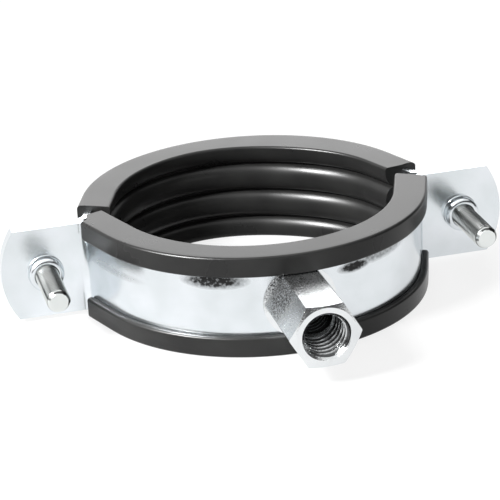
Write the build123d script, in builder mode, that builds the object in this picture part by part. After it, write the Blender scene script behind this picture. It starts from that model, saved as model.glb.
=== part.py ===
"""Two-piece rubber lined pipe clamp, all lengths in millimetres.

The bore runs along Z and its centre is the origin. The ears run along X. The front half carries the
welded connection nut, which points to -Y. The rear half is drawn on to it by two screws from +Y.
Both halves have the same plan: an arc about the bore, a straight splayed stretch at each end,
a bend, and a flat ear. The ears meet face to face on the plane y = 0.
"""
import os
from math import cos, radians, sin, tan

from build123d import *

# Pipe and lining
PIPE_DIAMETER = 60.3        # outside diameter of the pipe that the lobes just touch
LINING_DEPTH = 4.1          # rubber between the pipe and the steel
EDGE_WALL = 1.0             # rubber over each long edge of the steel
LIP_THICKNESS = 1.6         # rubber lip folded over the outer face of the steel
LIP_HEIGHT = 4.4            # how far each lip reaches down from the lining's flat face
LIP_ROUND = 0.6             # outer edges of the lips
LIP_TIP_ROUND = 0.4         # corner of each lip's tip against the steel
LOBE_COUNT = 4              # sound-damping lobes round the bore
GROOVE_WIDTH = 1.2          # between two lobes, at their widest
LOBE_DEPTH = 2.0            # height of a lobe above the grooves beside it
LOBE_ROUND = 1.5            # shoulders of the inner lobes
BEAD_ROUND = 1.2            # inner corners of the lining's two flat faces
GROOVE_ROUND = 0.4          # floor corners of the grooves
SLOT_CLEARANCE = 0.05       # between the lining's slot and the steel all round
FRONT_BODY_END = 0.1        # front lining's cut end inside the steel, from the parting plane
REAR_BODY_END = 3.6         # rear lining's
FRONT_LIP_GAP = 0.7         # bare steel between the bend and the front lips' cut ends
REAR_LIP_GAP = 2.3          # the same on the rear half
LINING_SHIFT = 0.6          # how far each lining sits round in its steel, clockwise from above
LIP_RAKE = 0.6              # extra setback of the lips' outer corner

# Steel strip
BAND_WIDTH = 20.0
BAND_THICKNESS = 1.5
SPLAY = 20.0                # degrees from the parting plane where the arc turns straight
BEND_RADIUS = 1.8           # inside radius of the bend into the ear
EAR_END = 20.25             # ear's outermost point, past the steel's outer face
EAR_CROWN = 3.1             # rise of the ear's rounded end

# Screws and their holes
SCREW_OFFSET = 10.85        # screw axis, past the steel's outer face
SCREW_DIAMETER = 5.0
SCREW_LENGTH = 20.0         # under the head
SCREW_POINT = 0.6           # chamfer at the screw's end
HEAD_DIAMETER = 9.5
HEAD_HEIGHT = 3.7
HEAD_RIM = 1.1              # straight side of the pan head
RECESS_SPAN = 4.9           # tip to tip of the cross recess
RECESS_WIDTH = 1.4
RECESS_DEPTH = 2.4
RECESS_TAPER = 8.0          # degrees
THREAD_CLEARANCE = 0.05     # radial, screw in the drawn collar
HOLE_CLEARANCE = 0.4        # radial, screw in the rear ear
COLLAR_WALL = 1.25          # drawn collar round the front ear's thread
COLLAR_HEIGHT = 2.4
COLLAR_ROUND = 0.9          # rim and root of the collar
COLLAR_MOUTH = 0.6          # drawn-in edge on the collar's other side

# Connection nut
NUT_ACROSS_FLATS = 13.0
NUT_LENGTH = 18.5           # from the band's outer face
NUT_CHAMFER_DIAMETER = 12.3
NUT_CHAMFER_ANGLE = 30.0
M10_BORE = 8.5              # tapped, coarse
M10_LENGTH = 9.5
M8_BORE = 6.8               # tapped, coarse, from there to the band
MOUTH_CHAMFER = 0.8
STEP_CHAMFER = 0.6
FOOT_CHAMFER = 0.6          # M8 thread's far end, against the band
WELD_OVERHANG = 0.35        # upset weld collar, past the nut's corners
WELD_HEIGHT = 0.5
WELD_ROUND = 0.3

# Radii and heights that follow
CREST_RADIUS = PIPE_DIAMETER / 2
GROOVE_RADIUS = CREST_RADIUS + LOBE_DEPTH
BAND_INNER = CREST_RADIUS + LINING_DEPTH
BAND_OUTER = BAND_INNER + BAND_THICKNESS
LINING_OUTER = BAND_OUTER + LIP_THICKNESS
LINING_HEIGHT = BAND_WIDTH + 2 * EDGE_WALL
LOBE_WIDTH = (LINING_HEIGHT - (LOBE_COUNT - 1) * GROOVE_WIDTH) / LOBE_COUNT
LOBE_PITCH = LOBE_WIDTH + GROOVE_WIDTH
LOBE_HEIGHTS = [(i - (LOBE_COUNT - 1) / 2) * LOBE_PITCH for i in range(LOBE_COUNT)]
SCREW_X = BAND_OUTER + SCREW_OFFSET
EAR_X = BAND_OUTER + EAR_END
SCREW_RADIUS = SCREW_DIAMETER / 2
NUT_CORNER = NUT_ACROSS_FLATS / 2 / cos(radians(30))
COS_SPLAY, SIN_SPLAY = cos(radians(SPLAY)), sin(radians(SPLAY))
BEND_START = BAND_THICKNESS + BEND_RADIUS * tan(radians((90 - SPLAY) / 2)) * COS_SPLAY
MARGIN = 5.0                # how far cutting shapes reach past what they cut


def bend_corner(radius, ear_face):
    """Where the straight stretch at this radius would meet a face of the ear, were it not bent."""
    run = (radius * SIN_SPLAY - ear_face) / COS_SPLAY
    return radius * COS_SPLAY + run * SIN_SPLAY, ear_face


def strip_half_plan(side):
    """Outline of one half's steel on the +X side, seen along the bore; side is +1 rear, -1 front."""
    for radius, ear_face, bend in (
        (BAND_INNER, 0, BEND_RADIUS + BAND_THICKNESS),
        (BAND_OUTER, BAND_THICKNESS, BEND_RADIUS),
    ):
        x_corner, y_corner = bend_corner(radius, ear_face)
        arc_end = (radius * COS_SPLAY, side * radius * SIN_SPLAY)
        FilletPolyline((EAR_X, side * ear_face), (x_corner, side * y_corner), arc_end, radius=bend)
        CenterArc((0, 0), radius, side * SPLAY, side * (90 - SPLAY))
    Line((0, side * BAND_INNER), (0, side * BAND_OUTER))
    Line((EAR_X, 0), (EAR_X, side * BAND_THICKNESS))


def ear_outline():
    """Front view of the whole strip: parallel edges and a crowned end on each ear."""
    half_width = BAND_WIDTH / 2
    corner_x = EAR_X - EAR_CROWN
    right = ThreePointArc((corner_x, -half_width), (EAR_X, 0), (corner_x, half_width))
    left = ThreePointArc((-corner_x, half_width), (-EAR_X, 0), (-corner_x, -half_width))
    Line(right @ 1, left @ 0)
    Line(left @ 1, right @ 0)


def lining_end(hand, body_y, lip_y, beyond_y):
    """Plan of what is cut off one end of a lining: square inside the steel, set back past its bend."""
    lip_x = (BAND_OUTER - abs(lip_y) * SIN_SPLAY) / COS_SPLAY
    lip_corner_y = lip_y - beyond_y / abs(beyond_y) * LIP_RAKE
    Polyline(
        (hand * (CREST_RADIUS - MARGIN), body_y),
        (hand * BAND_INNER, body_y),
        (hand * lip_x, lip_y),
        (hand * (lip_x + LIP_THICKNESS), lip_corner_y),
        (hand * (lip_x + 2 * MARGIN), lip_corner_y),
        (hand * (lip_x + 2 * MARGIN), beyond_y),
        (hand * (CREST_RADIUS - MARGIN), beyond_y),
        close=True,
    )


os.makedirs("parts", exist_ok=True)


# Front band: strip with two drawn and tapped collars
with BuildPart() as front_band:
    with BuildSketch(Plane.XY.offset(-BAND_WIDTH / 2)):
        with BuildLine():
            strip_half_plan(-1)
        make_face()
        mirror(about=Plane.YZ)
    extrude(amount=BAND_WIDTH)
    with BuildSketch(Plane.XZ):
        with BuildLine():
            ear_outline()
        make_face()
    extrude(amount=BAND_OUTER + MARGIN, mode=Mode.INTERSECT)
    with BuildSketch(Plane.XZ.offset(BAND_THICKNESS)):
        with Locations((-SCREW_X, 0), (SCREW_X, 0)):
            Circle(SCREW_RADIUS + THREAD_CLEARANCE + COLLAR_WALL)
    extrude(amount=COLLAR_HEIGHT)
    collar_circles = front_band.edges(Select.LAST).filter_by(GeomType.CIRCLE)
    fillet(collar_circles, radius=COLLAR_ROUND)
    with BuildSketch(Plane.XZ):
        with Locations((-SCREW_X, 0), (SCREW_X, 0)):
            Circle(SCREW_RADIUS + THREAD_CLEARANCE)
    extrude(amount=BAND_THICKNESS + COLLAR_HEIGHT, mode=Mode.SUBTRACT)
    parting_face = front_band.faces().filter_by(Plane.XZ).group_by(Axis.Y)[-1]
    fillet(parting_face.edges().filter_by(GeomType.CIRCLE).group_by(SortBy.RADIUS)[0], radius=COLLAR_MOUTH)
front_band.part.label = "front_band"
export_step(front_band.part, "parts/front_band.step")


# Rear band: the same strip with plain clearance holes
with BuildPart() as rear_band:
    with BuildSketch(Plane.XY.offset(-BAND_WIDTH / 2)):
        with BuildLine():
            strip_half_plan(1)
        make_face()
        mirror(about=Plane.YZ)
    extrude(amount=BAND_WIDTH)
    with BuildSketch(Plane.XZ):
        with BuildLine():
            ear_outline()
        make_face()
    extrude(amount=-(BAND_OUTER + MARGIN), mode=Mode.INTERSECT)
    with BuildSketch(Plane.XZ):
        with Locations((-SCREW_X, 0), (SCREW_X, 0)):
            Circle(SCREW_RADIUS + HOLE_CLEARANCE)
    extrude(amount=-BAND_THICKNESS, mode=Mode.SUBTRACT)
rear_band.part.label = "rear_band"
export_step(rear_band.part, "parts/rear_band.step")


# Linings: a lobed channel that grips both long edges of the steel
for node, side, body_end, lip_gap in (
    ("front_lining", -1, FRONT_BODY_END, FRONT_LIP_GAP),
    ("rear_lining", 1, REAR_BODY_END, REAR_LIP_GAP),
):
    # The section is drawn where the arc turns straight; its normal points along the straight stretch
    arc_end = Plane(
        origin=(0, 0, 0),
        x_dir=(COS_SPLAY, side * SIN_SPLAY, 0),
        z_dir=(SIN_SPLAY, -side * COS_SPLAY, 0),
    )
    slot_inner = BAND_INNER - SLOT_CLEARANCE
    slot_outer = BAND_OUTER + SLOT_CLEARANCE
    slot_height = BAND_WIDTH + 2 * SLOT_CLEARANCE
    with BuildPart() as lining:
        with BuildSketch(arc_end) as section:
            with Locations(((GROOVE_RADIUS + LINING_OUTER) / 2, 0)):
                Rectangle(LINING_OUTER - GROOVE_RADIUS, LINING_HEIGHT)
            with Locations(*[(CREST_RADIUS + LOBE_DEPTH / 2, z) for z in LOBE_HEIGHTS]):
                Rectangle(LOBE_DEPTH, LOBE_WIDTH)
            with Locations(((slot_inner + slot_outer) / 2, 0)):
                Rectangle(slot_outer - slot_inner, slot_height, mode=Mode.SUBTRACT)
            with Locations(((slot_outer + LINING_OUTER) / 2, 0)):
                Rectangle(LINING_OUTER - slot_outer, LINING_HEIGHT - 2 * LIP_HEIGHT, mode=Mode.SUBTRACT)
            fillet(section.vertices().group_by(Axis.X)[1], radius=GROOVE_ROUND)
            fillet(section.vertices().group_by(Axis.X)[0].sort_by(Axis.Y)[1:-1], radius=LOBE_ROUND)
            crest_ends = section.vertices().group_by(Axis.X)[0].sort_by(Axis.Y)
            fillet([crest_ends[0], crest_ends[-1]], radius=BEAD_ROUND)
            fillet(section.vertices().group_by(Axis.X)[-1], radius=LIP_ROUND)
            slot_corners = section.vertices().filter_by(lambda v: abs(v.X - slot_outer) < SLOT_CLEARANCE)
            fillet(slot_corners.sort_by(Axis.Y)[1:-1], radius=LIP_TIP_ROUND)
        straight = LINING_OUTER * tan(radians(SPLAY)) + MARGIN
        extrude(amount=straight)
        revolve(section.sketch, axis=Axis((0, 0, 0), (0, 0, side)), revolution_arc=90 - SPLAY)
        mirror(about=Plane.YZ)
        with BuildSketch(Plane.XY.offset(-LINING_HEIGHT / 2)):
            for hand in (-1, 1):
                body_y = side * body_end - hand * LINING_SHIFT
                lip_y = side * (BEND_START + lip_gap) - hand * LINING_SHIFT
                with BuildLine():
                    lining_end(hand, body_y, lip_y, -side * 2 * MARGIN)
                make_face()
        extrude(amount=LINING_HEIGHT, mode=Mode.SUBTRACT)
    lining.part.label = node
    export_step(lining.part, f"parts/{node}.step")


# Connection nut: hexagon bar tapped M10 at the mouth and M8 behind, welded on by an upset collar
nut_face = BAND_OUTER + NUT_LENGTH
with BuildPart() as connection_nut:
    with BuildSketch(Plane.XZ.offset(nut_face)):
        RegularPolygon(NUT_ACROSS_FLATS / 2, 6, major_radius=False)
    extrude(amount=-(NUT_LENGTH + MARGIN))
    corner_reach = NUT_CORNER + MARGIN
    chamfer_fall = (corner_reach - NUT_CHAMFER_DIAMETER / 2) * tan(radians(NUT_CHAMFER_ANGLE))
    with BuildSketch():
        with BuildLine():
            Polyline(
                (NUT_CHAMFER_DIAMETER / 2, -nut_face),
                (corner_reach, -nut_face),
                (corner_reach, chamfer_fall - nut_face),
                close=True,
            )
        make_face()
    revolve(axis=Axis.Y, mode=Mode.SUBTRACT)
    with BuildSketch(Plane.XZ.offset(BAND_OUTER + WELD_HEIGHT)):
        Circle(NUT_CORNER + WELD_OVERHANG)
        Rectangle(2 * (NUT_CORNER + WELD_OVERHANG), NUT_ACROSS_FLATS, mode=Mode.INTERSECT)
    extrude(amount=-(WELD_HEIGHT + MARGIN))
    weld_arcs = connection_nut.edges().filter_by(GeomType.CIRCLE).group_by(SortBy.RADIUS)[-1]
    fillet(weld_arcs.group_by(Axis.Y)[0], radius=WELD_ROUND)
    Cylinder(BAND_OUTER, BAND_WIDTH + MARGIN, mode=Mode.SUBTRACT)
    with BuildSketch(Plane.XZ.offset(nut_face)):
        Circle(M10_BORE / 2)
    extrude(amount=-M10_LENGTH, mode=Mode.SUBTRACT)
    with BuildSketch(Plane.XZ.offset(nut_face - M10_LENGTH)):
        Circle(M8_BORE / 2)
    extrude(amount=-(NUT_LENGTH - M10_LENGTH + MARGIN), mode=Mode.SUBTRACT)
    with BuildSketch(Plane.XZ.offset(BAND_OUTER + FOOT_CHAMFER)):
        Circle(M8_BORE / 2)
    extrude(amount=-(FOOT_CHAMFER + MARGIN), taper=-45, mode=Mode.SUBTRACT)
    bore_edges = connection_nut.edges().filter_by(GeomType.CIRCLE)
    mouth_edge = bore_edges.filter_by(lambda e: abs(e.radius - M10_BORE / 2) < 0.001).sort_by(Axis.Y)[0]
    step_edge = bore_edges.filter_by(lambda e: abs(e.radius - M8_BORE / 2) < 0.001).sort_by(Axis.Y)[0]
    chamfer(mouth_edge, length=MOUTH_CHAMFER)
    chamfer(step_edge, length=STEP_CHAMFER)
connection_nut.part.label = "connection_nut"
export_step(connection_nut.part, "parts/connection_nut.step")


# Clamp screws: pan head, cross recess; the head bears on the rear ear
for node, screw_x in (("left_screw", -SCREW_X), ("right_screw", SCREW_X)):
    seat = BAND_THICKNESS
    tip = seat - SCREW_LENGTH
    with BuildPart() as screw:
        with BuildSketch(Plane(origin=(screw_x, 0, 0))):
            with BuildLine():
                Polyline(
                    (0, seat + HEAD_HEIGHT),
                    (0, tip),
                    (SCREW_RADIUS - SCREW_POINT, tip),
                    (SCREW_RADIUS, tip + SCREW_POINT),
                    (SCREW_RADIUS, seat),
                    (HEAD_DIAMETER / 2, seat),
                    (HEAD_DIAMETER / 2, seat + HEAD_RIM),
                )
                TangentArc((0, seat + HEAD_HEIGHT), (HEAD_DIAMETER / 2, seat + HEAD_RIM), tangent=(1, 0))
            make_face()
        revolve(axis=Axis((screw_x, 0, 0), (0, 1, 0)))
        with BuildSketch(Plane.XZ.offset(-(seat + HEAD_HEIGHT)).shift_origin((screw_x, seat + HEAD_HEIGHT, 0))):
            Rectangle(RECESS_SPAN, RECESS_WIDTH)
            Rectangle(RECESS_WIDTH, RECESS_SPAN)
        extrude(amount=RECESS_DEPTH, taper=RECESS_TAPER, mode=Mode.SUBTRACT)
    screw.part.label = node
    export_step(screw.part, f"parts/{node}.step")
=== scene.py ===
# %% [markdown]
# # Rubber lined pipe clamp
#
# The clamp lies on its side: its bore stands upright along Z, its ears run along X, and the connection
# nut points to -Y. The CAD model is loaded first as a fixed frame of bodies and nodes. Every piece made
# below replaces one CAD node, has the same size and place, and rides on the same body.

# %% Load the frame
from math import atan, atan2, cos, degrees, pi, radians, sin, tan

import bmesh
import bpy
from mathutils import Matrix, Vector


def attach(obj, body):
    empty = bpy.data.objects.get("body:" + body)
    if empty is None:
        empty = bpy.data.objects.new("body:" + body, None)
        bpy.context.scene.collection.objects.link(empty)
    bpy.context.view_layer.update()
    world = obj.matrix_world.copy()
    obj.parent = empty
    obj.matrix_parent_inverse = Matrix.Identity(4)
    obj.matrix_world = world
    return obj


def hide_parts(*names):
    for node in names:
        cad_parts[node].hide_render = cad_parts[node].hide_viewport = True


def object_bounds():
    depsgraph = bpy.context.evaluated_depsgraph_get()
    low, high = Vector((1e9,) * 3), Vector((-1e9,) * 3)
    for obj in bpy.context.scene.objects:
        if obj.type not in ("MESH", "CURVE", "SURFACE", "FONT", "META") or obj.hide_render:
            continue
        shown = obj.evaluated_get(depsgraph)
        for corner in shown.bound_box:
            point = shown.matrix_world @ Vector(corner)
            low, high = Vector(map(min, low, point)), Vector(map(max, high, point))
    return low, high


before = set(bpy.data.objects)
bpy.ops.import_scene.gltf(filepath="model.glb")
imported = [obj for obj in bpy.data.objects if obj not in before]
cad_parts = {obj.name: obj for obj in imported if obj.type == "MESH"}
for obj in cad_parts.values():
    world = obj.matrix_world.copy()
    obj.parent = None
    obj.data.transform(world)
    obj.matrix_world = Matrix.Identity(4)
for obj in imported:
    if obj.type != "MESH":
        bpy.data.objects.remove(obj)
cad_low, cad_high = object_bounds()
print("box in mm:", [round(1000 * (b - a), 2) for a, b in zip(cad_low, cad_high)])

# %% [markdown]
# ## Sizes
#
# The driving sizes are the clamp's own: the pipe, the rubber between pipe and steel, and the steel strip.
# They are written once, in metres by way of MM, and the radii of the layers follow from them. MERGE and
# NEAR say when two points are one, and SPARE is how far a stub or a cutter reaches past its work.

# %% Sizes of the layers
MM = 0.001
MERGE = 0.002 * MM
NEAR = 0.01 * MM
SPARE = 1 * MM
PIPE_RADIUS = 30.15 * MM
LINING_DEPTH = 4.1 * MM
STRIP_THICKNESS = 1.5 * MM
STRIP_WIDTH = 20 * MM
EDGE_WALL = 1.0 * MM
LIP_THICKNESS = 1.6 * MM
SPLAY = radians(20)

strip_inner = PIPE_RADIUS + LINING_DEPTH
strip_outer = strip_inner + STRIP_THICKNESS
lining_outer = strip_outer + LIP_THICKNESS
half_height = STRIP_WIDTH / 2 + EDGE_WALL
print("steel from", round(strip_inner / MM, 2), "to", round(strip_outer / MM, 2), "mm")
print("lining out to", round(lining_outer / MM, 2), "mm, height", round(2 * half_height / MM, 2), "mm")

# %% [markdown]
# ## Two moves that make most of the clamp
#
# The steel strips and the rubber linings are both long sections that run straight and then turn, like
# stock fed through a bending tool. So a section is drawn once as a flat face, and two helpers feed it:
# one extrudes it in a straight line and the other spins it about an upright axis. Each returns the new
# end, ready for the next move.

# %% Feeding a section along
UP = Vector((0, 0, 1))


def run_straight(bm, faces, step):
    """Extrudes the end faces by a vector and returns the new end."""
    made = bmesh.ops.extrude_face_region(bm, geom=faces)["geom"]
    bmesh.ops.translate(bm, verts=[g for g in made if isinstance(g, bmesh.types.BMVert)], vec=step)
    old = [f for f in faces if f.is_valid]
    if any(len(e.link_faces) > 2 for f in old for e in f.edges):
        bmesh.ops.delete(bm, geom=old, context="FACES_ONLY")
    return [g for g in made if isinstance(g, bmesh.types.BMFace)]


def run_round(bm, faces, centre, angle, steps):
    """Spins the end faces about an upright axis and returns the new end."""
    made = bmesh.ops.spin(bm, geom=faces, cent=centre, axis=UP, angle=angle, steps=steps)["geom_last"]
    old = [f for f in faces if f.is_valid]
    if any(len(e.link_faces) > 2 for f in old for e in f.edges):
        bmesh.ops.delete(bm, geom=old, context="FACES_ONLY")
    return [g for g in made if isinstance(g, bmesh.types.BMFace)]


# %% [markdown]
# ## Turning a mesh into a finished piece
#
# Every piece ends the same way: doubles are merged, edges sharper than a given angle stay crisp, and the
# object sits at the origin, replaces its node and rides on its body. Solids that are cut are closed
# first, with their normals outwards, and so is each finished shell before it gets here.

# %% Finishing a piece
def close(bm):
    """Merges the doubles and turns every face outwards, so that the volume is above zero."""
    bmesh.ops.remove_doubles(bm, verts=bm.verts[:], dist=MERGE)
    bmesh.ops.recalc_face_normals(bm, faces=bm.faces[:])
    if bm.calc_volume(signed=True) < 0:
        bmesh.ops.reverse_faces(bm, faces=bm.faces[:])
    return bm


BEVELLED_FROM = radians(35)


def finish_piece(name, bm, node, body, bevel=None, crisp=35):
    """Makes the object, crisp above an angle in degrees, and rounded where bevel gives a width."""
    bmesh.ops.remove_doubles(bm, verts=bm.verts[:], dist=MERGE)
    mesh = bpy.data.meshes.new(name)
    bm.to_mesh(mesh)
    bm.free()
    piece = bpy.data.objects.new(name, mesh)
    bpy.context.scene.collection.objects.link(piece)
    mesh.shade_smooth()
    mesh.set_sharp_from_angle(angle=radians(crisp))
    if bevel:
        edge = piece.modifiers.new("rounded edges", "BEVEL")
        edge.width, edge.segments, edge.profile = bevel, 3, 0.5
        edge.limit_method, edge.angle_limit = "ANGLE", BEVELLED_FROM
        edge.use_clamp_overlap = True
    weighted = piece.modifiers.new("flat faces stay flat", "WEIGHTED_NORMAL")
    weighted.keep_sharp = True
    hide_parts(node)
    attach(piece, body)
    print(name, "has", len(mesh.polygons), "faces")
    return piece


# %% [markdown]
# ## Cutting, stitching and turning
#
# Holes and slots are made as in a workshop, by taking one solid from another. A cut leaves extra points on
# its rim, so a shell that is put together from parts is stitched: an open edge is split wherever a
# neighbour has a point on it. Round parts are turned, by spinning a profile about a line along Y.

# %% Cutting, stitching and turning
STITCH = 0.03 * MM
TURNED_STEPS = 64


def cut(bm, cutter, operation="DIFFERENCE"):
    """The solid in bm with the solid in cutter taken away, or kept in common with it."""
    solids = []
    for part in (close(bm), close(cutter)):
        mesh = bpy.data.meshes.new("stock")
        part.to_mesh(mesh)
        part.free()
        solids.append(bpy.data.objects.new("stock", mesh))
        bpy.context.scene.collection.objects.link(solids[-1])
    stock, tool = solids
    boolean = stock.modifiers.new("cut", "BOOLEAN")
    boolean.operation, boolean.object, boolean.solver = operation, tool, "EXACT"
    cut_mesh = bpy.data.meshes.new_from_object(stock.evaluated_get(bpy.context.evaluated_depsgraph_get()))
    result = bmesh.new()
    result.from_mesh(cut_mesh)
    for solid in solids:
        bpy.data.objects.remove(solid)
    return result


def part_along(edge, point):
    """Where a point lies on an edge, from 0 to 1, or None if it is off it or at one of its ends."""
    a, b = (end.co for end in edge.verts)
    part = (point - a).dot(b - a) / (b - a).length_squared
    off = (a.lerp(b, part) - point).length
    inside = 0 < part < 1 and min((point - a).length, (point - b).length) > STITCH
    return part if inside and off < STITCH else None


def stitch(bm):
    """Splits open edges where an open edge's point lies on them, so that no seam is left open."""
    for v in [v for v in close(bm).verts if v.is_boundary]:
        for edge in [e for e in bm.edges if e.is_boundary and v not in e.verts]:
            part = part_along(edge, v.co)
            if part is not None:
                bmesh.utils.edge_split(edge, edge.verts[0], part)[1].co = v.co
                break
    slivers = [e for e in close(bm).edges if e.is_boundary]
    bmesh.ops.holes_fill(bm, edges=slivers, sides=4)
    return close(bm)


def turned(bm, profile, x=0.0):
    """Turns a profile of (y, radius) pairs about the line along Y through x."""
    points = [bm.verts.new((x + radius, y, 0)) for y, radius in profile]
    edges = [bm.edges.new(pair) for pair in zip(points, points[1:])]
    bmesh.ops.spin(bm, geom=points + edges, cent=(x, 0, 0), axis=(0, 1, 0), angle=2 * pi,
                   steps=TURNED_STEPS, use_merge=True)
    bmesh.ops.remove_doubles(bm, verts=bm.verts[:], dist=MERGE)
    return bm


def rod(start, stop, radius, x=0.0):
    """A plain round bar along Y, as stock or as a drill."""
    return turned(bmesh.new(), [(start, 0), (start, radius), (stop, radius), (stop, 0)], x)


# %% [markdown]
# ## Linings
#
# The lining is an extruded EPDM rubber channel. Its inner side has four lobes that grip the pipe: each is
# half a flat oval, and narrow grooves part them. A slot inside the channel takes the steel strip, and
# two lips fold over the strip's outer face. The section is a single flat face, and its corners are
# rounded by bevelling the face's own points, so that the roundings carry all the way along.

# %% Sizes of the lining
LOBE_DEPTH = 2.0 * MM
LOBE_PITCH = 6.5 * MM
GROOVE_WIDTH = 0.4 * MM
END_CREST = 9.8 * MM
END_ROUND = 0.6 * MM
LIP_ROUND = 0.6 * MM
LIP_INNER_ROUND = 0.4 * MM
LIP_HEIGHT = 4.4 * MM
SLOT_CLEARANCE = 0.05 * MM

slot_inner, slot_outer = strip_inner - SLOT_CLEARANCE, strip_outer + SLOT_CLEARANCE
slot_half = STRIP_WIDTH / 2 + SLOT_CLEARANCE
lip_tip = half_height - LIP_HEIGHT
print("grooves at", [round(i * LOBE_PITCH / MM, 1) for i in (-1, 0, 1)], "mm")


# %% Lining section
def rounded(bm, chosen, radius, segments):
    """Rounds the chosen corners of a flat face."""
    bmesh.ops.bevel(bm, geom=chosen, offset=radius, offset_type="OFFSET", segments=segments, profile=0.5,
                    affect="VERTICES", material=-1)


def lobe_side(crest, groove_edge, steps=9):
    """Points of (radius, height) from a lobe's crest to the edge of a groove, a quarter of an oval."""
    turns = [pi / 2 * i / steps for i in range(steps + 1)]
    width = groove_edge - crest
    return [(PIPE_RADIUS + LOBE_DEPTH * (1 - cos(a)), crest + width * sin(a)) for a in turns]


def lining_section(bm, side):
    """The channel's section, upright in the plane y = 0, on the +X side for 1 and the -X side for -1."""
    near, far = LOBE_PITCH - GROOVE_WIDTH / 2, LOBE_PITCH + GROOVE_WIDTH / 2
    inner = lobe_side(LOBE_PITCH / 2, GROOVE_WIDTH / 2)[::-1] + lobe_side(LOBE_PITCH / 2, near)[1:]
    inner += lobe_side(END_CREST, far)[::-1]
    upper = [(PIPE_RADIUS, half_height), (strip_inner, half_height), (strip_outer, half_height),
             (lining_outer, half_height), (lining_outer, lip_tip), (slot_outer, lip_tip),
             (slot_outer, slot_half), (slot_inner, slot_half)]
    half = inner + upper
    outline = half + [(radius, -z) for radius, z in reversed(half)]
    face = bm.faces.new([bm.verts.new((side * radius, 0, z)) for radius, z in outline])

    def corners(radius, *heights):
        at_radius = [v for v in bm.verts if abs(abs(v.co.x) - radius) < NEAR]
        return [v for v in at_radius if any(abs(abs(v.co.z) - z) < NEAR for z in heights)]

    rounded(bm, corners(PIPE_RADIUS, half_height), END_ROUND, 5)
    rounded(bm, corners(lining_outer, half_height, lip_tip), LIP_ROUND, 4)
    rounded(bm, corners(slot_outer, lip_tip), LIP_INNER_ROUND, 3)
    return list(bm.faces)


# %% [markdown]
# The channel follows the steel: an arc about the pipe, then a short straight stretch at each end that
# splays outwards. It was cut by hand, so its ends aren't square: inside the steel the cut lies near the
# parting plane, and the lips are set back, to clear the bend of the steel. Each point of the end is slid
# along the stretch to the cut, whose distance from the parting plane is given in mm at a few radii. The rear
# channel is a little long for its steel, so its inner side stands off it to the right of the middle.

# %% Lining maker
ARC_STEPS = 96


def between(value, stations):
    """Straight-line interpolation through (value, result) stations."""
    for (a, at_a), (b, at_b) in zip(stations, stations[1:]):
        if value <= b:
            return at_a + (at_b - at_a) * max(0.0, (value - a) / (b - a))
    return stations[-1][1]


def slide_to_cut(end, hand, half, stations):
    """Slides the end's points along the straight stretch, out to the cut."""
    along = Vector((hand * sin(SPLAY), -half * cos(SPLAY), 0))
    across = Vector((hand * cos(SPLAY), half * sin(SPLAY), 0))
    for v in {v for f in end for v in f.verts}:
        radius = v.co.dot(across)
        setback = between(radius / MM, stations) * MM
        v.co += along * ((radius * sin(SPLAY) - setback) / cos(SPLAY) - v.co.dot(along))


def lift_off(bm, angle, reach, depth):
    """Lifts the channel's inner side off the steel, most at one angle, counted from +Y towards +X."""
    for v in bm.verts:
        radius = Vector((v.co.x, v.co.y)).length
        away = abs(degrees(atan2(v.co.x, v.co.y)) - angle) / reach
        if radius < strip_inner + STRIP_THICKNESS / 2 and away < 1:
            v.co.xy *= 1 - depth * cos(away * pi / 2) ** 2 / radius


def lining(name, node, body, half, left_cut, right_cut, lifted=None):
    """One half's channel: half is -1 in front and 1 behind."""
    bm = bmesh.new()
    first = lining_section(bm, -1)
    start = Matrix.Rotation(-half * SPLAY, 3, "Z")
    bmesh.ops.rotate(bm, verts=bm.verts[:], cent=(0, 0, 0), matrix=start)
    last = run_round(bm, first, (0, 0, 0), -half * (pi - 2 * SPLAY), ARC_STEPS)
    for end, hand, stations in ((first, -1, left_cut), (last, 1, right_cut)):
        along = Vector((hand * sin(SPLAY), -half * cos(SPLAY), 0))
        slide_to_cut(run_straight(bm, end, along * SPARE), hand, half, stations)
    if lifted:
        lift_off(bm, *lifted)
    return finish_piece(name, close(bm), node, body)


# %% Both linings
front_lining = lining(
    "front_lining_rubber", "front_lining", "front_half", -1,
    left_cut=[(30.15, -1.6), (31.5, -1.4), (33.9, -0.9), (35.75, 2.75), (37.5, 3.5)],
    right_cut=[(30.15, 0.9), (32.5, 1.1), (33.6, 2.4), (35.75, 3.9), (37.5, 4.9)],
)
rear_lining = lining(
    "rear_lining_rubber", "rear_lining", "rear_half", 1,
    left_cut=[(30.15, 3.0), (32.2, 4.0), (35.3, 5.7), (37.0, 6.2), (37.5, 5.6)],
    right_cut=[(30.15, 3.0), (33.75, 3.6), (36.6, 4.7), (37.5, 3.9)],
    lifted=(30, 50, 1.5 * MM),
)

# %% [markdown]
# ## Steel strips
#
# Each half is one strip of zinc plated steel, pressed into an arc with two ears. It is fed from one ear's
# end to the other: ear, bend, splayed stretch, arc, and the same back. The section is a narrow grid, so
# that the points of each ear's end can be slid out to the crowned outline.

# %% Sizes of the strips
BEND_RADIUS = 1.8 * MM
EAR_END = strip_outer + 20.25 * MM
EAR_CROWN = 3.1 * MM
SCREW_X = strip_outer + 10.85 * MM
SCREW_RADIUS = 2.5 * MM
COLLAR_RADIUS = 3.8 * MM
COLLAR_HEIGHT = 2.4 * MM
COLLAR_ROUND = 1.05 * MM
COLLAR_ROOT = 0.2 * MM
HOLE_RADIUS = 2.9 * MM
SAME_PLANE = radians(0.3)

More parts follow.
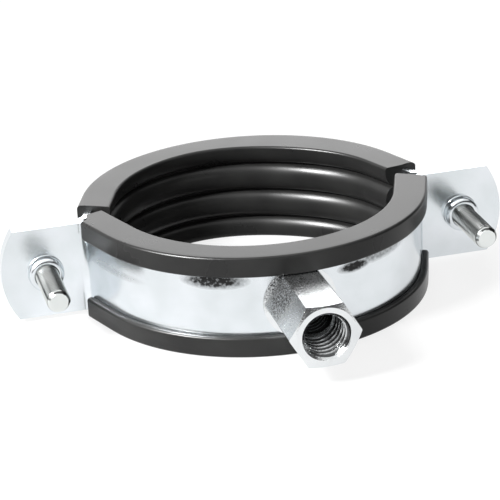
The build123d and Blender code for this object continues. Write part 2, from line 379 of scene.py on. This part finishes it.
bend_turn = pi / 2 - SPLAY
bend_run = BEND_RADIUS * tan(bend_turn / 2)
outer_corner_run = (strip_outer * sin(SPLAY) - STRIP_THICKNESS) / cos(SPLAY)
outer_corner_x = strip_outer * cos(SPLAY) + outer_corner_run * sin(SPLAY)
bend_x = outer_corner_x + bend_run
stretch = outer_corner_run - bend_run
crown_radius = (EAR_CROWN**2 + (STRIP_WIDTH / 2) ** 2) / (2 * EAR_CROWN)
print("ear flat from", round(bend_x / MM, 2), "to", round(EAR_END / MM, 2), "mm")
print("screws at", round(SCREW_X / MM, 2), "mm either side")


# %% Strip maker
def strip(half):
    """One half's strip with plain ears: half is -1 in front and 1 behind."""
    bm = bmesh.new()
    bmesh.ops.create_grid(bm, x_segments=1, y_segments=24, size=0.5)
    bmesh.ops.scale(bm, verts=bm.verts[:], vec=(STRIP_THICKNESS, STRIP_WIDTH, 1))
    bmesh.ops.rotate(bm, verts=bm.verts[:], cent=(0, 0, 0), matrix=Matrix.Rotation(pi / 2, 3, "Y"))
    bmesh.ops.rotate(bm, verts=bm.verts[:], cent=(0, 0, 0), matrix=Matrix.Rotation(pi / 2, 3, "X"))
    bmesh.ops.translate(bm, verts=bm.verts[:], vec=(bend_x, half * STRIP_THICKNESS / 2, 0))
    ear_root = list(bm.faces)
    bend_centre = Vector((bend_x, half * (STRIP_THICKNESS + BEND_RADIUS), 0))
    end = run_round(bm, ear_root, bend_centre, -half * bend_turn, 10)
    end = run_straight(bm, end, Vector((-sin(SPLAY), half * cos(SPLAY), 0)) * stretch)
    end = run_round(bm, end, (0, 0, 0), half * (pi - 2 * SPLAY), ARC_STEPS)
    end = run_straight(bm, end, Vector((-sin(SPLAY), -half * cos(SPLAY), 0)) * stretch)
    bend_centre.x = -bend_x
    end = run_round(bm, end, bend_centre, -half * bend_turn, 10)
    for ear, hand in ((ear_root, 1), (end, -1)):
        ear_tip = run_straight(bm, ear, Vector((hand * SPARE, 0, 0)))
        for v in {v for f in ear_tip for v in f.verts}:
            crown = crown_radius - (crown_radius**2 - v.co.z**2) ** 0.5
            v.co.x = hand * (EAR_END - crown)
    return bm


def drill(bm, radius):
    """Both ears drilled through at the screws."""
    bmesh.ops.dissolve_limit(bm, angle_limit=SAME_PLANE, verts=bm.verts[:], edges=bm.edges[:])
    reach = 3 * STRIP_THICKNESS
    for hand in (-1, 1):
        bm = cut(bm, rod(-reach, reach, radius, hand * SCREW_X))
    return bm


# %% Rear strip
rear_strip = finish_piece("rear_band_steel", close(drill(strip(1), HOLE_RADIUS)), "rear_band", "rear_half",
                          bevel=0.15 * MM)

# %% [markdown]
# ## Threads
#
# A thread is a row of V shapes swept round once while it climbs by one pitch: the end of each V then
# meets the start of the next. Spin does this when it is given a step along the axis. Where a thread
# runs out into a chamfer or stops at a face, its points are held back to that surface. Each point also
# keeps how deep it lies, from 0 at a crest to 1 at a root, for the material's painted shade in the
# roots. A solid thread has one more point on the axis at each end, which closes it.

# %% Thread maker
THREAD_MERGE = 0.003 * MM


def thread(bm, x, start, stop, pitch, crest, root, hold, solid=False):
    """A right-hand thread about the line along Y through x. hold(y, radius) keeps a point on the piece."""
    turns = int((stop - start) / pitch) + 3
    flank = root - 0.06 * (root - crest)
    one_turn = [(0.0, crest), (0.06, crest), (0.44, flank), (0.5, root), (0.56, flank), (0.94, crest)]
    stations = [(start + (i - 1 + part) * pitch, radius) for i in range(turns) for part, radius in one_turn]
    if solid:
        stations = [(stations[0][0], 0.0), *stations, (stations[-1][0], 0.0)]
    points = [bm.verts.new((x + radius, y, 0)) for y, radius in stations]
    edges = [bm.edges.new(pair) for pair in zip(points, points[1:])]
    bmesh.ops.spin(bm, geom=points + edges, cent=(x, 0, 0), axis=(0, 1, 0), angle=2 * pi,
                   dvec=(0, pitch / TURNED_STEPS, 0), steps=TURNED_STEPS)
    depth = bm.verts.layers.float.new("thread_depth")
    for v in bm.verts:
        arm = Vector((v.co.x - x, 0, v.co.z))
        y, radius = hold(v.co.y, arm.length)
        if (y, radius) == (v.co.y, arm.length):
            v[depth] = (arm.length - crest) / (root - crest)
        v.co = Vector((x, y, 0)) + arm.normalized() * (radius if arm.length > NEAR else 0.0)
    bmesh.ops.remove_doubles(bm, verts=bm.verts[:], dist=THREAD_MERGE)
    return bm


def joined(*meshes):
    """Several bmeshes put together as one."""
    whole = bmesh.new()
    for bm in meshes:
        mesh = bpy.data.meshes.new("joined")
        bm.to_mesh(mesh)
        bm.free()
        whole.from_mesh(mesh)
    return whole


# %% [markdown]
# ## Screws
#
# M5 by 20 pan head screws. The shank carries a rolled thread, whose crests run out into the chamfer at
# the flat point. The head is turned, and its cross recess is cut by two tapered slots.

# %% Screw maker
SCREW_LENGTH = 20 * MM
SCREW_PITCH = 0.8 * MM
SCREW_ROOT = 2.02 * MM
SCREW_POINT = 0.6 * MM
HEAD_RADIUS = 4.75 * MM
HEAD_HEIGHT = 3.7 * MM
HEAD_RIM = 1.1 * MM
HEAD_EDGE = 0.15 * MM
CROSS_SLOT = (4.9 * MM, 4.8 * MM, 1.4 * MM)
CROSS_TAPER = (0.72, 1, 0.62)
SHANK_IN_HEAD = 0.5 * MM
seat = STRIP_THICKNESS + NEAR
tip = STRIP_THICKNESS - SCREW_LENGTH
shank_end = seat + SHANK_IN_HEAD
print("screw points at", round(tip / MM, 2), "mm")


def hold_shank(y, radius):
    """Keeps the thread off the point's chamfer, behind the flat tip and out of the head."""
    if y >= shank_end:
        return shank_end, SCREW_ROOT
    y = max(y, tip)
    return y, min(radius, SCREW_RADIUS - max(0.0, SCREW_POINT - (y - tip)))


def pan_head(x):
    """Turned head with a cross recess."""
    rim = seat + HEAD_RIM
    height = HEAD_HEIGHT - HEAD_RIM
    dome = [(rim + height * sin(i * pi / 24), HEAD_RADIUS * cos(i * pi / 24)) for i in range(13)]
    underside = [(seat, 0), (seat, HEAD_RADIUS - HEAD_EDGE), (seat + HEAD_EDGE, HEAD_RADIUS)]
    head = turned(bmesh.new(), underside + dome, x)
    for turn in (0, pi / 2):
        slot = bmesh.new()
        bmesh.ops.create_cube(slot, size=1)
        bmesh.ops.scale(slot, verts=slot.verts[:], vec=CROSS_SLOT)
        deep = [v for v in slot.verts if v.co.y < 0]
        bmesh.ops.scale(slot, verts=deep, vec=CROSS_TAPER)
        bmesh.ops.rotate(slot, verts=slot.verts[:], cent=(0, 0, 0), matrix=Matrix.Rotation(turn, 3, "Y"))
        bmesh.ops.translate(slot, verts=slot.verts[:], vec=(x, seat + HEAD_HEIGHT, 0))
        head = cut(head, slot)
    return close(head)


def screw(name, node, x):
    """One screw, whose body has the node's name."""
    shank = thread(bmesh.new(), x, tip, shank_end, SCREW_PITCH, SCREW_RADIUS, SCREW_ROOT, hold_shank,
                   solid=True)
    return finish_piece(name, joined(pan_head(x), close(shank)), node, node)


left_screw = screw("left_screw_m5", "left_screw", -SCREW_X)
right_screw = screw("right_screw_m5", "right_screw", SCREW_X)

# %% [markdown]
# ## Front strip with its drawn collars
#
# The front ears are pierced and drawn through, so that a short collar stands forwards of each ear, and
# the collar is tapped M5. The ear is drilled out to where the collar's root round starts. Then the
# collar's outer side is turned, its tapped inside is a thread, and both meet the hole edge to edge, so
# the strip and its collars stay one shell. The thread starts in step with the screw's, half a pitch off,
# so that its roots take the screw's crests.

# %% Collars
COLLAR_BORE = SCREW_RADIUS + 0.05 * MM
COLLAR_MOUTH = 0.6 * MM
TAPPED_DEPTH = 0.45 * MM
RIM_CHAMFER = 0.15 * MM
root_radius = COLLAR_RADIUS + COLLAR_ROOT
ear_front = -STRIP_THICKNESS
collar_rim = ear_front - COLLAR_HEIGHT


def hold_tapping(y, radius):
    """Runs the tapped thread out into the rim's chamfer and into the drawn mouth on the parting face."""
    y = min(max(y, collar_rim), 0.0)
    radius = max(radius, COLLAR_BORE + RIM_CHAMFER - (y - collar_rim))
    if y > -COLLAR_MOUTH:
        round_in = COLLAR_MOUTH - (COLLAR_MOUTH**2 - (y + COLLAR_MOUTH) ** 2) ** 0.5
        radius = max(radius, COLLAR_BORE + round_in)
    return y, radius


def collar(x):
    """Outer side, tapped inside and the flat ring on the parting face."""
    arc = [i * pi / 12 for i in range(7)]
    root = [(ear_front - COLLAR_ROOT * (1 - cos(a)), root_radius - COLLAR_ROOT * sin(a)) for a in arc]
    rim = [(collar_rim + COLLAR_ROUND * (1 - sin(a)), COLLAR_RADIUS - COLLAR_ROUND * (1 - cos(a)))
           for a in arc]
    outside = turned(bmesh.new(), root + rim + [(collar_rim, COLLAR_BORE + RIM_CHAMFER)], x)
    ring = turned(bmesh.new(), [(0, COLLAR_BORE + COLLAR_MOUTH), (0, root_radius)], x)
    start = tip + (int((collar_rim - tip) / SCREW_PITCH) - 0.5) * SCREW_PITCH
    inside = thread(bmesh.new(), x, start, 0.0, SCREW_PITCH, COLLAR_BORE - TAPPED_DEPTH, COLLAR_BORE,
                    hold_tapping)
    return outside, ring, inside


def on_hole_wall(face, radius, x):
    """Whether all of a face's points lie on the wall of a hole along Y."""
    return all(abs(Vector((v.co.x - x, v.co.z)).length - radius) < NEAR for v in face.verts)


# %% Front strip
drilled = drill(strip(-1), root_radius)
walls = [f for f in drilled.faces if any(on_hole_wall(f, root_radius, x) for x in (-SCREW_X, SCREW_X))]
bmesh.ops.delete(drilled, geom=walls, context="FACES")
front_shell = joined(drilled, *collar(-SCREW_X), *collar(SCREW_X))
front_strip = finish_piece("front_band_steel", stitch(front_shell), "front_band", "front_half",
                           bevel=0.15 * MM)

# %% [markdown]
# ## Connection nut
#
# A length of 13 mm hexagon bar. Its front corners were turned off at 30 degrees, which leaves the curved
# crescents below each flat, and it is tapped M10 at the mouth and M8 behind. It was welded on by
# upsetting its foot, which leaves a low round collar that follows the strip.

# %% Nut body
NUT_FLATS = 13 * MM
NUT_LENGTH = 18.5 * MM
NUT_CORNER_ROUND = 0.25 * MM
CHAMFER_RADIUS = 6.15 * MM
CHAMFER_ANGLE = radians(30)
FOOT_ABOVE_BORE = 0.35 * MM
WELD_OVERHANG = 0.2 * MM
WELD_HEIGHT = 0.3 * MM
nut_corner = NUT_FLATS / 2 / cos(pi / 6)
nut_face = -(strip_outer + NUT_LENGTH)
nut_foot = -(strip_inner + FOOT_ABOVE_BORE)


def hexagon_bar():
    """The bar from the face back to its foot in the steel, flats up and down, corners slightly round."""
    bm = bmesh.new()
    bmesh.ops.create_circle(bm, cap_ends=True, segments=6, radius=nut_corner)
    bmesh.ops.rotate(bm, verts=bm.verts[:], cent=(0, 0, 0), matrix=Matrix.Rotation(pi / 6, 3, "Z"))
    rounded(bm, bm.verts[:], NUT_CORNER_ROUND, 3)
    bmesh.ops.rotate(bm, verts=bm.verts[:], cent=(0, 0, 0), matrix=Matrix.Rotation(pi / 2, 3, "X"))
    bmesh.ops.translate(bm, verts=bm.verts[:], vec=(0, nut_face, 0))
    run_straight(bm, list(bm.faces), Vector((0, nut_foot - nut_face, 0)))
    return close(bm)


fall = 2 * MM
outer_radius = CHAMFER_RADIUS + fall / tan(CHAMFER_ANGLE)
face_and_chamfer = [(nut_face, 0), (nut_face, CHAMFER_RADIUS), (nut_face + fall, outer_radius)]
sides = [(nut_foot + SPARE, outer_radius), (nut_foot + SPARE, 0)]
chamfer_stock = turned(bmesh.new(), face_and_chamfer + sides)
nut = cut(hexagon_bar(), chamfer_stock, "INTERSECT")
print("nut face at", round(nut_face / MM, 2), "mm, across corners", round(2 * nut_corner / MM, 2), "mm")

# %% Nut threads
M10_ROOT, M10_CREST, M10_PITCH, M10_LENGTH = 5.05 * MM, 4.25 * MM, 1.5 * MM, 9.5 * MM
M8_ROOT, M8_CREST, M8_PITCH = 4.03 * MM, 3.4 * MM, 1.25 * MM
THREAD_INSET = 0.03 * MM
# Painted shade: the least darkening of the M8 thread, deep in the bore behind the step.
M8_SHADE = 0.2
m10_end = nut_face + M10_LENGTH
nut_floor = -strip_outer


def hold_m10(y, radius):
    """Runs the M10 thread from the mouth's chamfer to the step."""
    y = min(max(y, nut_face), m10_end)
    return y, M10_ROOT if y == m10_end else max(radius, M10_ROOT - (y - nut_face))


def hold_m8(y, radius):
    """Runs the M8 thread from the step's chamfer to the steel of the strip."""
    y = min(max(y, m10_end), nut_floor)
    return y, M8_ROOT if y == nut_floor else max(radius, M8_ROOT - (y - m10_end))


drill_bit = turned(bmesh.new(), [(nut_face - SPARE, 0), (nut_face - SPARE, M10_ROOT), (m10_end, M10_ROOT),
                                 (m10_end, M8_ROOT), (nut_floor, M8_ROOT), (nut_floor, 0)])
nut = cut(nut, drill_bit)
walls = [f for f in nut.faces if on_hole_wall(f, M10_ROOT, 0) or on_hole_wall(f, M8_ROOT, 0)]
bmesh.ops.delete(nut, geom=walls, context="FACES")
m10 = thread(bmesh.new(), 0, nut_face, m10_end, M10_PITCH, M10_CREST, M10_ROOT - THREAD_INSET, hold_m10)
m8 = thread(bmesh.new(), 0, m10_end, nut_floor, M8_PITCH, M8_CREST, M8_ROOT - THREAD_INSET, hold_m8)
nut = close(joined(nut, m10, m8))
painted_shade = nut.verts.layers.float["thread_depth"]
# Painted shade: the M8 thread, deep behind the step, is darkened all over at least this much.
for v in nut.verts:
    if v.co.y > m10_end - NEAR and Vector((v.co.x, v.co.z)).length < M10_ROOT:
        v[painted_shade] = max(v[painted_shade], M8_SHADE)
print("M10 thread from", round(nut_face / MM, 2), "to", round(m10_end / MM, 2), "mm, M8 behind it")

# %% Weld collar
weld = rod(nut_foot - 3 * SPARE, nut_foot + SPARE, nut_corner + WELD_OVERHANG)
drum = bmesh.new()
bmesh.ops.create_cone(drum, cap_ends=True, segments=192, radius1=strip_outer + WELD_HEIGHT,
                      radius2=strip_outer + WELD_HEIGHT, depth=NUT_FLATS)
weld = cut(weld, drum, "INTERSECT")
weld = cut(weld, rod(nut_foot - 4 * SPARE, nut_foot + 2 * SPARE, nut_corner - SPARE))
connection_nut = finish_piece("connection_nut_m8_m10", joined(nut, close(weld)), "connection_nut",
                              "front_half", bevel=0.1 * MM, crisp=25)

# %% [markdown]
# ## Rubber
#
# EPDM rubber is black, but extruded stock carries a faint bloom, so it reads as a dark grey with a soft
# sheen. Clouds of noise vary the bloom, and a finer noise roughens the surface slightly. Both are read in
# the piece's own coordinates, so they stay on it wherever it goes.

# %% Helpers for materials
def material(name):
    """A new material, its nodes and its links."""
    made = bpy.data.materials.new(name)
    made.use_nodes = True
    return made, made.node_tree.nodes, made.node_tree.links


def add(nodes, kind, **values):
    """A node with its properties and input sockets set."""
    node = nodes.new("ShaderNode" + kind)
    for key, value in values.items():
        if hasattr(node, key):
            setattr(node, key, value)
        else:
            node.inputs[key.replace("_", " ")].default_value = value
    return node


def noise_on_piece(nodes, links, scale, detail):
    """Noise in the piece's own coordinates. The scale is per metre."""
    place = nodes.get("Texture Coordinate") or nodes.new("ShaderNodeTexCoord")
    noise = add(nodes, "TexNoise", Scale=scale, Detail=detail, Roughness=0.5)
    links.new(place.outputs["Object"], noise.inputs["Vector"])
    return noise


def spread(nodes, links, noise, low, high):
    """Maps a noise's middle range to low..high."""
    remap = add(nodes, "MapRange", From_Min=0.3, From_Max=0.7, To_Min=low, To_Max=high)
    links.new(noise.outputs["Fac"], remap.inputs["Value"])
    return remap.outputs["Result"]


def tinted(nodes, links, noise, dark, light):
    """A colour that wanders between two with a noise."""
    tint = add(nodes, "ValToRGB")
    for stop, position, colour in zip(tint.color_ramp.elements, (0.3, 0.7), (dark, light)):
        stop.position, stop.color = position, (*colour, 1)
    links.new(noise.outputs["Fac"], tint.inputs["Fac"])
    return tint.outputs["Color"]


def roughen(nodes, links, noise, height, strength=1.0):
    """Lets a noise of a height in mm rise from the surface."""
    bump = add(nodes, "Bump", Strength=strength, Distance=height * MM)
    links.new(noise.outputs["Fac"], bump.inputs["Height"])
    links.new(bump.outputs["Normal"], nodes["Principled BSDF"].inputs["Normal"])


# %% Rubber material
def rubber(name, dark, light):
    """Black rubber with bloom between two colours."""
    made, nodes, links = material(name)
    shader = nodes["Principled BSDF"]
    shader.inputs["Specular IOR Level"].default_value = 0.25
    cloud = noise_on_piece(nodes, links, 90, 4)
    links.new(tinted(nodes, links, cloud, dark, light), shader.inputs["Base Color"])
    links.new(spread(nodes, links, cloud, 0.26, 0.34), shader.inputs["Roughness"])
    roughen(nodes, links, noise_on_piece(nodes, links, 2500, 2), 0.02, strength=0.25)
    return made


lining_rubber = rubber("lining_rubber", (0.024, 0.024, 0.024), (0.038, 0.038, 0.037))
print("made the rubber")

# %% [markdown]
# ## Zinc plating
#
# Bright zinc over steel: a pale metal with a soft mirror and faint clouds. The strip is smooth from the
# rolling mill, the nut's bar is drawn and grainier, and the screws are rolled. Painted shade darkens the
# roots of the threads and the steel below the strip's upper lip, and round the nut's foot painted shade
# from the lip mixes with speckled soot from the weld. The shade below the lip and the shade and soot at
# the foot are soft oval spots: a spherical gradient, stretched and placed by a Mapping node, and broken
# up by the grain.

# %% Painted shade in the threads, and soft dark spots
# Painted shade: the colour that darkens the roots of the threads, deepest at the root.
THREAD_SHADE = (0.12, 0.12, 0.12, 1)
# The dark colour of the painted shade spots, and of the soot at the nut's foot.
SPOT_BLACK = (0.03, 0.03, 0.03, 1)
SPOT_ROUGHNESS = 0.5


def shaded_down_threads(nodes, links, colour, full_shade):
    """A colour with painted shade down the threads. The shade is full at a part of the thread's depth."""
    depth = add(nodes, "Attribute", attribute_name="thread_depth")
    deep = add(nodes, "MapRange", From_Min=0.04, From_Max=full_shade)
    links.new(depth.outputs["Fac"], deep.inputs["Value"])
    painted_shade = add(nodes, "Mix", data_type="RGBA", blend_type="MULTIPLY", B=THREAD_SHADE)
    links.new(deep.outputs["Result"], painted_shade.inputs["Factor"])
    links.new(colour, painted_shade.inputs["A"])
    return painted_shade.outputs["Result"]


def oval_spot(nodes, links, angle, height, length, width, weight, reach, out):
    """A soft oval, up to its weight at its middle. Sizes are in mm and the angle in degrees from the nut."""
    turn = radians(angle)
    radius = strip_outer + out * MM
    place = add(nodes, "Mapping", vector_type="TEXTURE")
    place.inputs["Location"].default_value = (radius * sin(turn), -radius * cos(turn), height * MM)
    place.inputs["Rotation"].default_value = (0, 0, turn)
    place.inputs["Scale"].default_value = (length * MM, reach * MM, width * MM)
    fade = add(nodes, "TexGradient", gradient_type="SPHERICAL")
    links.new(nodes["Texture Coordinate"].outputs["Object"], place.inputs["Vector"])
    links.new(place.outputs["Vector"], fade.inputs["Vector"])
    spot = add(nodes, "MapRange", From_Max=0.6, To_Max=weight)
    links.new(fade.outputs["Fac"], spot.inputs["Value"])
    return spot.outputs["Result"]


def darkened(nodes, links, spots, speckle, grain, colour, roughness):
    """Lays dark spots, broken up by the grain, over a colour and a roughness."""
    total, *others = [oval_spot(nodes, links, *spot) for spot in spots]
    for other in others:
        larger = add(nodes, "Math", operation="MAXIMUM")
        links.new(total, larger.inputs[0])
        links.new(other, larger.inputs[1])
        total = larger.outputs[0]
    broken = add(nodes, "Math", operation="MULTIPLY")
    links.new(total, broken.inputs[0])
    links.new(spread(nodes, links, grain, 0.8 - speckle, 0.8 + speckle), broken.inputs[1])
    black = add(nodes, "Mix", data_type="RGBA", clamp_factor=True, B=SPOT_BLACK)
    dull = add(nodes, "Mix", data_type="FLOAT", clamp_factor=True, B=SPOT_ROUGHNESS)
    for mix, clean in ((black, colour), (dull, roughness)):
        links.new(broken.outputs[0], mix.inputs["Factor"])
        links.new(clean, mix.inputs["A"])
    return black.outputs["Result"], dull.outputs["Result"]


# %% Zinc material
def zinc(name, dark, light, roughness, grain, full_shade, spots=(), speckle=0.3):
    """Zinc plated steel. The grain is its scale per metre and its height in mm."""
    made, nodes, links = material(name)
    shader = nodes["Principled BSDF"]
    shader.inputs["Metallic"].default_value = 1.0
    cloud = noise_on_piece(nodes, links, 120, 3)
    colour = shaded_down_threads(nodes, links, tinted(nodes, links, cloud, dark, light), full_shade)
    gloss = spread(nodes, links, cloud, *roughness)
    grain_scale, grain_height = grain
    grains = noise_on_piece(nodes, links, grain_scale, 2)
    if spots:
        colour, gloss = darkened(nodes, links, spots, speckle, grains, colour, gloss)
    links.new(colour, shader.inputs["Base Color"])
    links.new(gloss, shader.inputs["Roughness"])
    roughen(nodes, links, grains, grain_height)
    return made


# %% The three zinc finishes
# Painted shade on the steel just below the strip's upper lip, laid as dark ovals.
# angle from the nut, height, half length, half width, weight, half reach, distance out of the strip
LIP_SHADE_SPOTS = (
    (-70, 2.4, 12, 1.1, 0.25, 3, 0),
    (-28, 5.3, 8, 2.0, 1.3, 3, 0),
    (20, 5.0, 4.5, 1.4, 1.5, 3, 0),
    (32, 5.7, 10, 1.6, 0.7, 3, 0),
)
# Round the nut's foot: painted shade from the lip above, mixed with speckled soot from the weld.
LIP_SHADE_AND_WELD_SOOT = ((-6, 5, 10, 9, 1.0, 9, 5),)
zinc_strip = zinc("zinc_strip", (0.68, 0.72, 0.74), (0.77, 0.80, 0.83), roughness=(0.17, 0.26),
                  grain=(1500, 0.002), full_shade=1.3, spots=LIP_SHADE_SPOTS)
zinc_nut = zinc("zinc_nut", (0.70, 0.72, 0.73), (0.82, 0.84, 0.85), roughness=(0.12, 0.22),
                grain=(3500, 0.05), full_shade=0.4, spots=LIP_SHADE_AND_WELD_SOOT, speckle=1.0)
zinc_screw = zinc("zinc_screw", (0.66, 0.69, 0.68), (0.78, 0.80, 0.79), roughness=(0.12, 0.20),
                  grain=(2600, 0.002), full_shade=0.55)
print("made three zinc finishes, the strip's with", len(LIP_SHADE_SPOTS), "painted shade spots")

# %% Dress the pieces
for finish, pieces in (
    (lining_rubber, (front_lining, rear_lining)),
    (zinc_strip, (front_strip, rear_strip)),
    (zinc_nut, (connection_nut,)),
    (zinc_screw, (left_screw, right_screw)),
):
    for piece in pieces:
        piece.data.materials.clear()
        piece.data.materials.append(finish)

# %% [markdown]
# ## Floor, world and light
#
# The clamp lies on a white floor under a white world. Seen straight or in a reflection, both are plain
# white. For lighting, the world is dimmer, and soft lamps give the rubber its shape. One of them shows in
# reflections alone, and draws the sheen along the lobes.

# %% Floor
FLOOR_SIZE = 6.0
floor_bm = bmesh.new()
bmesh.ops.create_grid(floor_bm, x_segments=1, y_segments=1, size=FLOOR_SIZE / 2)
bmesh.ops.translate(floor_bm, verts=floor_bm.verts[:], vec=(0, 0, cad_low[2]))
floor_mesh = bpy.data.meshes.new("floor")
floor_bm.to_mesh(floor_mesh)
floor_bm.free()
floor = bpy.data.objects.new("floor", floor_mesh)
bpy.context.scene.collection.objects.link(floor)
print("floor at", round(cad_low[2] / MM, 2), "mm")


def seen_or_mirrored(nodes, links):
    """1 for rays from the camera, from a mirror or through glass, 0 for rays that carry light."""
    path = nodes.new("ShaderNodeLightPath")
    total = None
    for ray in ("Is Glossy Ray", "Is Transmission Ray"):
        plus = add(nodes, "Math", operation="ADD", use_clamp=True)
        links.new(total or path.outputs["Is Camera Ray"], plus.inputs[0])
        links.new(path.outputs[ray], plus.inputs[1])
        total = plus.outputs[0]
    return total


white_floor, nodes, links = material("white_floor")
nodes["Principled BSDF"].inputs["Base Color"].default_value = (0.22, 0.22, 0.22, 1)
nodes["Principled BSDF"].inputs["Roughness"].default_value = 0.9
nodes["Principled BSDF"].inputs["Specular IOR Level"].default_value = 0.1
glow = add(nodes, "Emission", Strength=0.82)
nothing = add(nodes, "Emission", Strength=0.0)
pick = nodes.new("ShaderNodeMixShader")
links.new(seen_or_mirrored(nodes, links), pick.inputs[0])
links.new(nothing.outputs[0], pick.inputs[1])
links.new(glow.outputs[0], pick.inputs[2])
both = nodes.new("ShaderNodeAddShader")
links.new(nodes["Principled BSDF"].outputs[0], both.inputs[0])
links.new(pick.outputs[0], both.inputs[1])
links.new(both.outputs[0], nodes["Material Output"].inputs["Surface"])
floor.data.materials.append(white_floor)

# %% World
WORLD_LIGHT = 0.2
world = bpy.data.worlds.new("white_studio")
bpy.context.scene.world = world
world.use_nodes = True
nodes, links = world.node_tree.nodes, world.node_tree.links
lit = nodes["Background"]
lit.inputs["Strength"].default_value = WORLD_LIGHT
lit.inputs["Color"].default_value = (1, 1, 1, 1)
seen = add(nodes, "Background", Strength=1.0, Color=(1, 1, 1, 1))
pick = nodes.new("ShaderNodeMixShader")
links.new(seen_or_mirrored(nodes, links), pick.inputs[0])
links.new(lit.outputs[0], pick.inputs[1])
links.new(seen.outputs[0], pick.inputs[2])
links.new(pick.outputs[0], nodes["World Output"].inputs["Surface"])
print("world lights at", WORLD_LIGHT, "and shows as 1")


# %% Lamps
def softbox(name, place, target, size, power):
    """A square area lamp that faces the target."""
    data = bpy.data.lights.new(name, "AREA")
    data.shape, data.size, data.energy = "SQUARE", size, power
    lamp = bpy.data.objects.new(name, data)
    bpy.context.scene.collection.objects.link(lamp)
    lamp.location = place
    lamp.rotation_euler = (Vector(target) - Vector(place)).to_track_quat("-Z", "Y").to_euler()
    lamp.visible_camera = False
    return lamp


softbox("overhead", (0.05, 0.1, 0.9), (0, 0, 0), 0.7, 1)
softbox("upper_left", (-0.64, -0.24, 0.58), (0, 0, 0), 0.2, 9)
sheen = softbox("rib_sheen", (-0.64, -0.17, 0.66), (0, 0, 0), 0.4, 30)
sheen.visible_diffuse = False
softbox("behind", (0.27, 1.1, 0.47), (0, 0, 0), 0.85, 4.1)


# %% [markdown]
# ## Black curtains
#
# Plain metal under a white world has no drawing. Black curtains hung round the table, as for glassware
# and jewellery, put dark lines into it. A black card under the bore is painted shade: it stands in for
# the shade on the floor inside the ring, and keeps the lobes dark. They only show in reflections, so
# another view stays clean.

# %% Curtains
flag_black, nodes, links = material("flag_black")
nodes["Principled BSDF"].inputs["Base Color"].default_value = (0.01, 0.01, 0.01, 1)
nodes["Principled BSDF"].inputs["Roughness"].default_value = 0.9
CURTAIN_RADIUS = 0.6
CURTAIN_STEPS = 16
CARD_GAP = 2 * MM
CARD_LIFT = 0.1 * MM


def only_reflected(name, bm):
    """A black stage piece that shows in reflections alone."""
    mesh = bpy.data.meshes.new(name)
    bm.to_mesh(mesh)
    bm.free()
    card = bpy.data.objects.new(name, mesh)
    bpy.context.scene.collection.objects.link(card)
    card.data.materials.append(flag_black)
    card.visible_camera = card.visible_diffuse = card.visible_shadow = False
    return card


def curtain(name, start, stop, low, high):
    """Hangs from one angle to another, counted in degrees from the front and positive to the right."""
    bm = bmesh.new()
    angle = radians(start)
    foot = Vector((sin(angle), -cos(angle), 0)) * CURTAIN_RADIUS
    ends = [bm.verts.new(foot + Vector((0, 0, z))) for z in (low, high)]
    edge = bm.edges.new(ends)
    bmesh.ops.spin(bm, geom=ends + [edge], cent=(0, 0, 0), axis=UP, angle=radians(stop - start),
                   steps=CURTAIN_STEPS)
    return only_reflected(name, bm)


curtain("left_curtain", -75, -40, cad_low[2], 0.12)
curtain("front_curtain", 6, 60, 0.16, 0.62)
curtain("camera_curtain", -40, 6, 0.09, 0.46)
curtain("right_curtain", 60, 125, cad_low[2], 0.5)
# Painted shade: a black card on the floor under the bore stands in for the shade inside the ring.
shade_card_bm = bmesh.new()
bmesh.ops.create_circle(shade_card_bm, cap_ends=True, segments=48, radius=PIPE_RADIUS - CARD_GAP)
bmesh.ops.translate(shade_card_bm, verts=shade_card_bm.verts[:], vec=(0, 0, cad_low[2] + CARD_LIFT))
only_reflected("bore_shade_card", shade_card_bm)
print("hung four curtains at", CURTAIN_RADIUS, "m, and laid a card under the bore")

# %% [markdown]
# ## Camera
#
# A long lens at a low angle, a little to the left of the nut.

# %% Camera
AZIMUTH, ELEVATION, ROLL = radians(-13.54), radians(22.33), radians(-3.11)
CAMERA_PLACE = Vector((-99.87, -409.00, 170.40)) * MM
LENS = 150.1
SENSOR = 36

back = Vector((sin(AZIMUTH) * cos(ELEVATION), -cos(AZIMUTH) * cos(ELEVATION), sin(ELEVATION)))
level_right = Vector((cos(AZIMUTH), sin(AZIMUTH), 0))
level_up = back.cross(level_right)
right = level_right * cos(ROLL) + level_up * sin(ROLL)
up = level_up * cos(ROLL) - level_right * sin(ROLL)
camera_data = bpy.data.cameras.new("camera")
camera_data.sensor_fit, camera_data.sensor_width, camera_data.lens = "HORIZONTAL", SENSOR, LENS
camera_data.clip_start, camera_data.clip_end = 0.01, 20
camera = bpy.data.objects.new("camera", camera_data)
bpy.context.scene.collection.objects.link(camera)
camera.matrix_world = Matrix.Translation(CAMERA_PLACE) @ Matrix((right, up, back)).transposed().to_4x4()
bpy.context.scene.camera = camera
bpy.context.scene.view_settings.view_transform = "Standard"
print("camera", round(degrees(2 * atan(SENSOR / 2 / LENS)), 2), "degrees wide")
